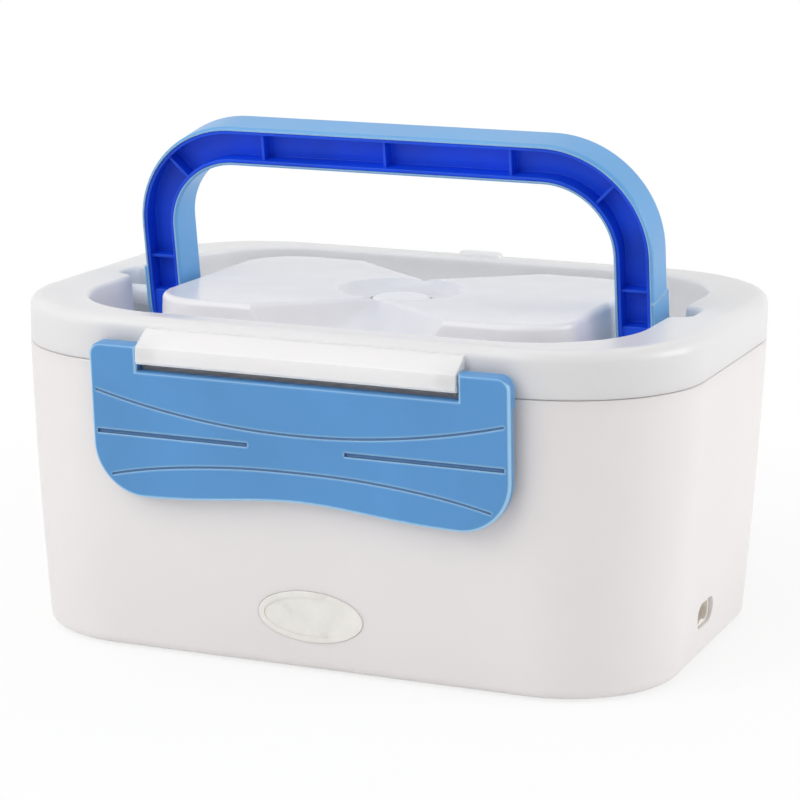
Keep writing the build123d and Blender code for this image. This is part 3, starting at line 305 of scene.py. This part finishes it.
@dataclass(frozen=True)
class Plastic:
    """A moulded plastic.

    Attributes:
        name: The material's name.
        colour: Its colour on screen.
        roughness: Its mean roughness.
        mottle: How far the colour drifts, as a share.
        blotch: Size of that drift, in metres.
        grain: Depth of the faint ripple that a mould leaves, in metres.
        grain_size: Size of that ripple.
        wave: Depth of the slow unevenness of a thin moulded wall.
        wave_size: Size of that unevenness.
        ease: Radius that edges look rounded to.
        edge_highlight: How far a painted highlight pales the colour along edges, 0 to 1.
        highlight_colour: Colour that the painted highlight on edges and lips pales to.
        lip_highlight: How far a painted highlight pales the rounded edge of a plate, 0 to 1.
        hollow_shading: How far the painted shading in grooves and hollows changes the colour, 0 to 1.
        hollow_shading_size: Width of the hollows that count.
        hollow_shading_colour: Colour painted into hollows; a dark one is painted shade, a pale one is painted
            light that stands in for light coming through.
        gloss: Strength of the surface's own reflection.
        milk: Share of light that wanders inside.
        milk_colour: Colour that the light inside takes.
        milk_depth: How far the light wanders, in metres.
        coat: Strength of a clear gloss over it.
    """

    name: str
    colour: Colour
    roughness: float = 0.35
    mottle: float = 0.02
    blotch: float = 0.03
    grain: float = 0.000004
    grain_size: float = 0.004
    wave: float = 0.0
    wave_size: float = 0.04
    ease: float = 0.0004
    edge_highlight: float = 0.0
    highlight_colour: Colour = (0.95, 0.97, 1.0)
    lip_highlight: float = 0.0
    hollow_shading: float = 0.0
    hollow_shading_size: float = 0.003
    hollow_shading_colour: Colour = (0.5, 0.5, 0.55)
    gloss: float = 0.5
    milk: float = 0.0
    milk_colour: Colour = (1.0, 0.95, 0.9)
    milk_depth: float = 0.004
    coat: float = 0.0

    def build(self) -> bpy.types.Material:
        """Build the material and return it."""
        nodes = Nodes(self.name)
        drift = nodes.noise(self.blotch, 3.0)
        dark, light = shade(self.colour, 1 - self.mottle), shade(self.colour, 1 + self.mottle)
        colour = nodes.tint(drift, dark, light)
        eased = nodes.rounded(self.ease)
        # Painted highlight: the colour pales towards a light colour along edges, where rounded edges would
        # catch light.
        if self.edge_highlight:
            colour = nodes.over(nodes.edges(eased, self.edge_highlight), self.highlight_colour, colour)
        # Painted highlight on the rounded lips of a plate.
        if self.lip_highlight:
            colour = nodes.over(nodes.lips(self.lip_highlight), self.highlight_colour, colour)
        # Painted shading in the piece's own hollows, from its ambient occlusion: shade where the colour is
        # dark, light where it is pale.
        if self.hollow_shading:
            colour = nodes.over(nodes.creases(self.hollow_shading_size, self.hollow_shading), self.hollow_shading_colour, colour)
        nodes.join(colour, nodes.shader.inputs["Base Color"])
        rub = nodes.noise(0.015, 2.0)
        low, high = self.roughness * 0.9, self.roughness * 1.1
        nodes.join(nodes.spread(rub, low, high), nodes.shader.inputs["Roughness"])
        heights = [(nodes.noise(self.grain_size, 1.0), self.grain)]
        if self.wave:
            heights.append((nodes.noise(self.wave_size, 0.0), self.wave))
        nodes.bump(heights, eased)
        nodes.set(IOR=1.5, Coat_Weight=self.coat, Coat_Roughness=0.08, Specular_IOR_Level=self.gloss)
        if self.milk:
            nodes.set(Subsurface_Weight=self.milk, Subsurface_Scale=self.milk_depth)
            nodes.shader.inputs["Subsurface Radius"].default_value = self.milk_colour
        return nodes.material


@dataclass(frozen=True)
class Metal:
    """A plain or brushed metal.

    Attributes:
        name: The material's name.
        colour: Its colour on screen.
        roughness: Its mean roughness.
        grain: Depth of the brush lines, in metres.
        stretch: How much finer the lines run along each axis.
    """

    name: str
    colour: Colour
    roughness: float = 0.3
    grain: float = 0.00002
    stretch: Point = (1, 12, 1)

    def build(self) -> bpy.types.Material:
        """Build the material and return it."""
        nodes = Nodes(self.name)
        lines = nodes.noise(0.004, 4.0, self.stretch)
        dark, light = shade(self.colour, 0.93), shade(self.colour, 1.05)
        nodes.join(nodes.tint(lines, dark, light), nodes.shader.inputs["Base Color"])
        low, high = self.roughness * 0.8, self.roughness * 1.25
        nodes.join(nodes.spread(lines, low, high), nodes.shader.inputs["Roughness"])
        nodes.bump([(lines, self.grain)])
        nodes.set(Metallic=1.0)
        return nodes.material


@dataclass(frozen=True)
class ClearPlastic:
    """A clear, faintly smoky plastic.

    Attributes:
        name: The material's name.
        colour: Colour of the light that comes through.
        roughness: Roughness of its faces.
        alpha: How much of it shows as a surface.
    """

    name: str
    colour: Colour
    roughness: float = 0.2
    alpha: float = 0.6

    def build(self) -> bpy.types.Material:
        """Build the material and return it."""
        nodes = Nodes(self.name)
        drift = nodes.noise(0.01, 3.0)
        dark, light = shade(self.colour, 0.97), shade(self.colour, 1.03)
        nodes.join(nodes.tint(drift, dark, light), nodes.shader.inputs["Base Color"])
        low, high = self.roughness * 0.8, self.roughness * 1.2
        nodes.join(nodes.spread(drift, low, high), nodes.shader.inputs["Roughness"])
        nodes.bump([(nodes.noise(0.002, 2.0), 0.00002)])
        nodes.set(Alpha=self.alpha, IOR=1.45)
        return nodes.material


@dataclass(frozen=True)
class Weave:
    """A woven fibre pad.

    Attributes:
        name: The material's name.
        colour: Its colour on screen.
        pitch: Distance between threads, in metres.
    """

    name: str
    colour: Colour
    pitch: float = 0.0012

    def build(self) -> bpy.types.Material:
        """Build the material and return it."""
        nodes = Nodes(self.name)
        wave = nodes.tree.nodes.new("ShaderNodeTexChecker")
        wave.inputs["Scale"].default_value = 1.0 / self.pitch
        nodes.join(nodes.place, wave.inputs["Vector"])
        drift = nodes.noise(0.003, 3.0)
        dark, light = shade(self.colour, 0.85), self.colour
        nodes.join(nodes.tint(drift, dark, light), nodes.shader.inputs["Base Color"])
        nodes.join(nodes.spread(drift, 0.75, 0.95), nodes.shader.inputs["Roughness"])
        nodes.bump([(wave.outputs["Fac"], 0.0001), (drift, 0.0001)])
        return nodes.material


Finish = Plastic | Metal | ClearPlastic | Weave

SHELL_WHITE = Plastic("shell_white", (0.925, 0.907, 0.902), roughness=0.4, mottle=0.006, blotch=0.06,
                      grain=0.000003, wave=0.00008, wave_size=0.05, milk=0.3)
# Lid: hollows painted pale, painted light standing in for light that comes through the milky plastic.
LID_WHITE = Plastic("lid_white", (0.94, 0.932, 0.932), roughness=0.32, mottle=0.006, blotch=0.05,
                    grain=0.000003, wave=0.00006, wave_size=0.05, milk=0.6, milk_colour=(1.0, 0.98, 0.96),
                    milk_depth=0.008, hollow_shading=2.0, hollow_shading_size=0.025, hollow_shading_colour=(1.0, 0.995, 0.995))
# Cover: a painted highlight along its edges.
COVER_WHITE = Plastic("cover_white", (0.94, 0.935, 0.95), roughness=0.24, mottle=0.012, blotch=0.02,
                      grain=0.000004, wave=0.00008, wave_size=0.03, milk=0.5, milk_colour=(1.0, 0.98, 0.96),
                      milk_depth=0.006, edge_highlight=0.4, highlight_colour=(0.98, 0.98, 1.0))
# Plug: a painted highlight along its edges and painted grey shade in its hollows.
PLUG_WHITE = Plastic("plug_white", (0.96, 0.96, 0.965), roughness=0.35, mottle=0.01, blotch=0.01,
                     milk=0.3, edge_highlight=0.3, hollow_shading=0.4, hollow_shading_size=0.002)
# Tray: a faint painted highlight along its edges.
TRAY_WHITE = Plastic("tray_white", (0.93, 0.93, 0.92), roughness=0.4, mottle=0.012, blotch=0.03,
                     grain=0.000006, edge_highlight=0.2)
# Tub: a faint painted highlight along its edges.
TUB_WHITE = Plastic("tub_white", (0.9, 0.9, 0.885), roughness=0.5, mottle=0.015, blotch=0.03,
                    grain=0.00001, edge_highlight=0.2)
# Spoon: a painted highlight along its edges.
SPOON_WHITE = Plastic("spoon_white", (0.92, 0.93, 0.94), roughness=0.25, mottle=0.01, blotch=0.02,
                      edge_highlight=0.3)
SEAL_WHITE = Plastic("seal_white", (0.9, 0.89, 0.86), roughness=0.6, mottle=0.02, blotch=0.01,
                     grain=0.00001, grain_size=0.002, milk=0.2)
# Handle: a strong painted highlight along its edges.
HANDLE_BLUE = Plastic("handle_blue", (0.37, 0.64, 0.865), roughness=0.32, mottle=0.02, blotch=0.03,
                      grain=0.000004, wave=0.00004, wave_size=0.03, ease=0.001, edge_highlight=0.85,
                      highlight_colour=(0.76, 0.9, 0.99))
# Inlay: a painted highlight along its edges.
INLAY_BLUE = Plastic("inlay_blue", (0.05, 0.3, 0.87), roughness=0.45, mottle=0.08, blotch=0.03,
                     grain=0.000006, wave=0.00008, wave_size=0.02, ease=0.0005, edge_highlight=0.45,
                     highlight_colour=(0.2, 0.42, 0.93), gloss=0.3)
# Clip: painted highlights along its edges and rounded lips, and painted navy shade in its grooves.
CLIP_BLUE = Plastic("clip_blue", (0.315, 0.57, 0.8), roughness=0.36, mottle=0.025, blotch=0.035,
                    grain=0.000004, wave=0.00006, wave_size=0.03, ease=0.0013, edge_highlight=0.9,
                    highlight_colour=(0.68, 0.86, 0.98), lip_highlight=0.75, hollow_shading=0.8, hollow_shading_size=0.0025,
                    hollow_shading_colour=(0.14, 0.34, 0.58))
FOOT_GREY = Plastic("foot_grey", (0.4, 0.4, 0.42), roughness=0.8, mottle=0.05, blotch=0.004,
                    grain=0.00002, grain_size=0.001)
# Inlet: a painted highlight along its edges.
INLET_PALE = Plastic("inlet_pale", (0.97, 0.945, 0.91), roughness=0.45, mottle=0.03, blotch=0.005,
                     grain=0.00001, grain_size=0.001, milk=0.2, edge_highlight=0.3)
LEAD_GREY = Plastic("lead_grey", (0.8, 0.78, 0.74), roughness=0.55, mottle=0.03, blotch=0.004)
HEATER_AMBER = Plastic("heater_amber", (0.75, 0.5, 0.16), roughness=0.3, mottle=0.12, blotch=0.006,
                       wave=0.0002, wave_size=0.006, coat=0.5)
# Thermostat: a grey painted highlight along its edges.
THERMOSTAT_BLACK = Plastic("thermostat_black", (0.1, 0.1, 0.1), roughness=0.45, mottle=0.1, edge_highlight=0.3,
                           highlight_colour=(0.25, 0.25, 0.25))
BOARD_GREEN = Plastic("board_green", (0.1, 0.34, 0.18), roughness=0.4, mottle=0.15, blotch=0.004)
LAMP_SMOKE = Plastic("lamp_smoke", (0.5, 0.47, 0.45), roughness=0.15, mottle=0.1, blotch=0.002, coat=0.6)
PLATE_ALUMINIUM = Metal("plate_aluminium", (0.82, 0.83, 0.84), 0.34, 0.00002, (1, 14, 1))
SCREW_STEEL = Metal("screw_steel", (0.68, 0.68, 0.7), 0.3, 0.00001, (1, 1, 6))
CLAMP_STEEL = Metal("clamp_steel", (0.7, 0.7, 0.71), 0.38, 0.00002, (8, 1, 1))
PIN_BRASS = Metal("pin_brass", (0.85, 0.76, 0.55), 0.25, 0.00001, (6, 1, 1))
HINGE_STEEL = Metal("hinge_steel", (0.75, 0.75, 0.77), 0.22, 0.00001, (6, 1, 1))
FUSE_SILVER = Metal("fuse_silver", (0.78, 0.78, 0.76), 0.35, 0.00001, (6, 1, 1))
WINDOW_CLEAR = ClearPlastic("window_clear", (0.97, 0.96, 0.935), 0.3, 0.9)
PAD_WEAVE = Weave("pad_weave", (0.86, 0.85, 0.8))


class Wardrobe:
    """Builds each finish once and puts it on nodes and pieces."""

    def __init__(self, nodes: dict[str, bpy.types.Object]) -> None:
        """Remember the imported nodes."""
        self.nodes = nodes
        self.made: dict[str, bpy.types.Material] = {}

    def material(self, finish: Finish) -> bpy.types.Material:
        """Return the finish's material, built on its first use."""
        if finish.name not in self.made:
            self.made[finish.name] = finish.build()
        return self.made[finish.name]

    def dress(self, finish: Finish, *names: str) -> None:
        """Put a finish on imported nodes.

        Args:
            finish: The finish.
            names: The nodes' names.
        """
        for name in names:
            piece = self.nodes[name]
            piece.data.materials.clear()
            piece.data.materials.append(self.material(finish))
            log.info("dressed %s in %s", name, finish.name)


@dataclass
class Base:
    """The outer shell with the heated tub, its electrics and the lamp window."""

    wardrobe: Wardrobe
    electrics: dict[Finish, tuple[str, ...]] = field(default_factory=lambda: {
        PLATE_ALUMINIUM: ("heating_plate",),
        SEAL_WHITE: ("plate_gasket",),
        HEATER_AMBER: ("ptc_heater",),
        PAD_WEAVE: ("insulation_pad",),
        CLAMP_STEEL: ("heater_clamp",),
        SCREW_STEEL: ("clamp_screws", "base_screws"),
        THERMOSTAT_BLACK: ("thermostat",),
        FUSE_SILVER: ("thermal_fuse",),
        LEAD_GREY: ("lead_wires",),
        INLET_PALE: ("power_inlet",),
        PIN_BRASS: ("inlet_pins",),
        BOARD_GREEN: ("lamp_board",),
        LAMP_SMOKE: ("indicator_lamp",),
    })

    def build(self) -> None:
        """Dress the shell, the tub and everything between them."""
        self.wardrobe.dress(SHELL_WHITE, "outer_shell")
        self.wardrobe.dress(TUB_WHITE, "inner_tub")
        self.wardrobe.dress(FOOT_GREY, "feet")
        self.wardrobe.dress(WINDOW_CLEAR, "indicator_window")
        for finish, names in self.electrics.items():
            self.wardrobe.dress(finish, *names)


@dataclass
class Lid:
    """The lid with its seal, and what lies in its sunken top."""

    wardrobe: Wardrobe

    def build(self) -> None:
        """Dress the lid, the tray under it, the cover, the plug and the spoon."""
        self.wardrobe.dress(LID_WHITE, "lid_shell")
        self.wardrobe.dress(TRAY_WHITE, "lid_liner", "seal_carrier", "food_tray")
        self.wardrobe.dress(SEAL_WHITE, "lid_seal")
        self.wardrobe.dress(COVER_WHITE, "spoon_cover")
        self.wardrobe.dress(PLUG_WHITE, "vent_plug")
        self.wardrobe.dress(SPOON_WHITE, "spoon")


@dataclass
class Handle:
    """The folding handle and its inlay."""

    wardrobe: Wardrobe

    def build(self) -> None:
        """Dress the handle's frame and inlay."""
        self.wardrobe.dress(HANDLE_BLUE, "handle_frame")
        self.wardrobe.dress(INLAY_BLUE, "handle_inlay")


@dataclass
class Clips:
    """The front and rear clips with their hinge pins."""

    wardrobe: Wardrobe

    def build(self) -> None:
        """Dress both clips."""
        self.wardrobe.dress(CLIP_BLUE, "front_clip", "rear_clip")
        self.wardrobe.dress(HINGE_STEEL, "front_clip_pins", "rear_clip_pins")


@dataclass(frozen=True)
class Lamp:
    """A soft rectangular light.

    Attributes:
        name: Its name.
        place: Where it hangs.
        target: Where it points.
        size: Its width and height.
        power: Its power in watts.
        colour: Its colour.
    """

    name: str
    place: Point
    target: Point
    size: tuple[float, float]
    power: float
    colour: Colour = (1.0, 1.0, 1.0)

    def build(self) -> None:
        """Hang the light."""
        light = bpy.data.lights.new(self.name, "AREA")
        light.shape = "RECTANGLE"
        light.size, light.size_y = self.size
        light.energy = self.power
        light.color = self.colour
        piece = bpy.data.objects.new(self.name, light)
        bpy.context.scene.collection.objects.link(piece)
        way = Vector(self.place) - Vector(self.target)
        piece.matrix_world = Matrix.Translation(self.place) @ way.to_track_quat("Z", "Y").to_matrix().to_4x4()


@dataclass
class Studio:
    """Camera, soft lights, pale floor and white surroundings.

    Attributes:
        lens: The camera's focal length, in millimetres.
        eye: Where the camera stands.
        right: The way its picture's right points.
        up: The way its picture's top points.
        back: The way from what it looks at to the camera.
        lamps: The soft lights.
        glow: How strongly the surroundings light the box.
        floor_size: Width of the floor.
        floor_tone: How pale the floor is, 0 to 1.
        fade: Distances from the middle between which the floor turns white.
        fade_least: How white it already is near the box, 0 to 1.
    """

    lens: float = 127.573
    eye: Point = (0.361813, -0.893877, 0.286188)
    right: Point = (0.926207, 0.376946, 0.007221)
    up: Point = (-0.086469, 0.193745, 0.977234)
    back: Point = (0.366965, -0.905745, 0.212042)
    lamps: tuple[Lamp, ...] = (
        Lamp("key", (-0.55, -0.9, 0.85), (-0.03, 0, 0.06), (1.1, 0.9), 6.8),
        Lamp("side", (1.3, 0.45, 0.4), (0, 0, 0.06), (0.8, 0.7), 7.2),
        Lamp("top", (-0.3, -0.1, 1.6), (0, 0, 0.1), (1.2, 1.0), 4.5),
    )
    glow: float = 0.5
    floor_size: float = 12.0
    floor_tone: float = 0.96
    fade: tuple[float, float] = (0.1, 0.35)
    fade_least: float = 0.78

    def build(self) -> None:
        """Set up the camera, the lights, the world and the floor."""
        camera = bpy.data.cameras.new("camera")
        camera.lens, camera.sensor_width = self.lens, 36.0
        camera.clip_start, camera.clip_end = 0.05, 50.0
        eye = bpy.data.objects.new("camera", camera)
        turn = Matrix((self.right, self.up, self.back)).transposed().to_4x4()
        eye.matrix_world = Matrix.Translation(self.eye) @ turn
        bpy.context.scene.collection.objects.link(eye)
        bpy.context.scene.camera = eye
        for lamp in self.lamps:
            lamp.build()
        self.surroundings()
        self.floor()
        bpy.context.scene.view_settings.view_transform = "Standard"

    def surroundings(self) -> None:
        """A world that lights softly and looks white from the camera."""
        world = bpy.data.worlds.new("surroundings")
        bpy.context.scene.world = world
        world.use_nodes = True
        tree = world.node_tree
        tree.nodes.clear()
        output = tree.nodes.new("ShaderNodeOutputWorld")
        mix = tree.nodes.new("ShaderNodeMixShader")
        glow, white = (tree.nodes.new("ShaderNodeBackground") for _ in range(2))
        glow.inputs["Color"].default_value = (1, 1, 1, 1)
        glow.inputs["Strength"].default_value = self.glow
        white.inputs["Color"].default_value = (1, 1, 1, 1)
        white.inputs["Strength"].default_value = 1.0
        tree.links.new(self.seen(tree), mix.inputs["Fac"])
        tree.links.new(glow.outputs[0], mix.inputs[1])
        tree.links.new(white.outputs[0], mix.inputs[2])
        tree.links.new(mix.outputs[0], output.inputs["Surface"])

    @staticmethod
    def seen(tree: bpy.types.NodeTree) -> bpy.types.NodeSocket:
        """Give 1 where a ray comes from the camera, or through glass or a mirror.

        Args:
            tree: The tree to add the nodes to.

        Returns:
            The value.
        """
        path = tree.nodes.new("ShaderNodeLightPath")
        total = path.outputs[Ray.CAMERA.value]
        for ray in (Ray.GLOSSY, Ray.TRANSMISSION):
            add = tree.nodes.new("ShaderNodeMath")
            add.operation = "MAXIMUM"
            tree.links.new(total, add.inputs[0])
            tree.links.new(path.outputs[ray.value], add.inputs[1])
            total = add.outputs[0]
        return total

    def floor(self) -> None:
        """A pale floor that keeps the shadow near the box and fades to white."""
        bpy.ops.object.select_all(action="DESELECT")
        bpy.ops.mesh.primitive_grid_add(
            x_subdivisions=4, y_subdivisions=4, size=self.floor_size, location=(0, 0, 0)
        )
        piece = bpy.context.object
        piece.name = "floor"
        material = bpy.data.materials.new("floor_white")
        material.use_nodes = True
        tree = material.node_tree
        tree.nodes.clear()
        output = tree.nodes.new("ShaderNodeOutputMaterial")
        matt = tree.nodes.new("ShaderNodeBsdfDiffuse")
        matt.inputs["Color"].default_value = (self.floor_tone, self.floor_tone, self.floor_tone, 1)
        glow = tree.nodes.new("ShaderNodeEmission")
        glow.inputs["Strength"].default_value = 1.0
        place = tree.nodes.new("ShaderNodeTexCoord").outputs["Object"]
        span = tree.nodes.new("ShaderNodeVectorMath")
        span.operation = "LENGTH"
        tree.links.new(place, span.inputs[0])
        fade = tree.nodes.new("ShaderNodeMapRange")
        fade.inputs["From Min"].default_value, fade.inputs["From Max"].default_value = self.fade
        fade.inputs["To Min"].default_value = self.fade_least
        fade.inputs["To Max"].default_value = 1.0
        tree.links.new(span.outputs["Value"], fade.inputs["Value"])
        both = tree.nodes.new("ShaderNodeMath")
        both.operation = "MULTIPLY"
        tree.links.new(fade.outputs["Result"], both.inputs[0])
        tree.links.new(self.seen(tree), both.inputs[1])
        mix = tree.nodes.new("ShaderNodeMixShader")
        tree.links.new(both.outputs[0], mix.inputs["Fac"])
        tree.links.new(matt.outputs[0], mix.inputs[1])
        tree.links.new(glow.outputs[0], mix.inputs[2])
        tree.links.new(mix.outputs[0], output.inputs["Surface"])
        piece.data.materials.append(material)


def main() -> None:
    """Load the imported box, dress it and set up the studio."""
    logging.basicConfig(level=logging.INFO, format="%(name)s: %(message)s")
    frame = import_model()
    bpy.ops.object.select_all(action="DESELECT")
    Studio().build()
    wardrobe = Wardrobe(frame["nodes"])
    for assembly in (Base, Lid, Handle, Clips):
        assembly(wardrobe).build()
        log.info("built %s", assembly.__name__)


if __name__ == "__main__":
    main()
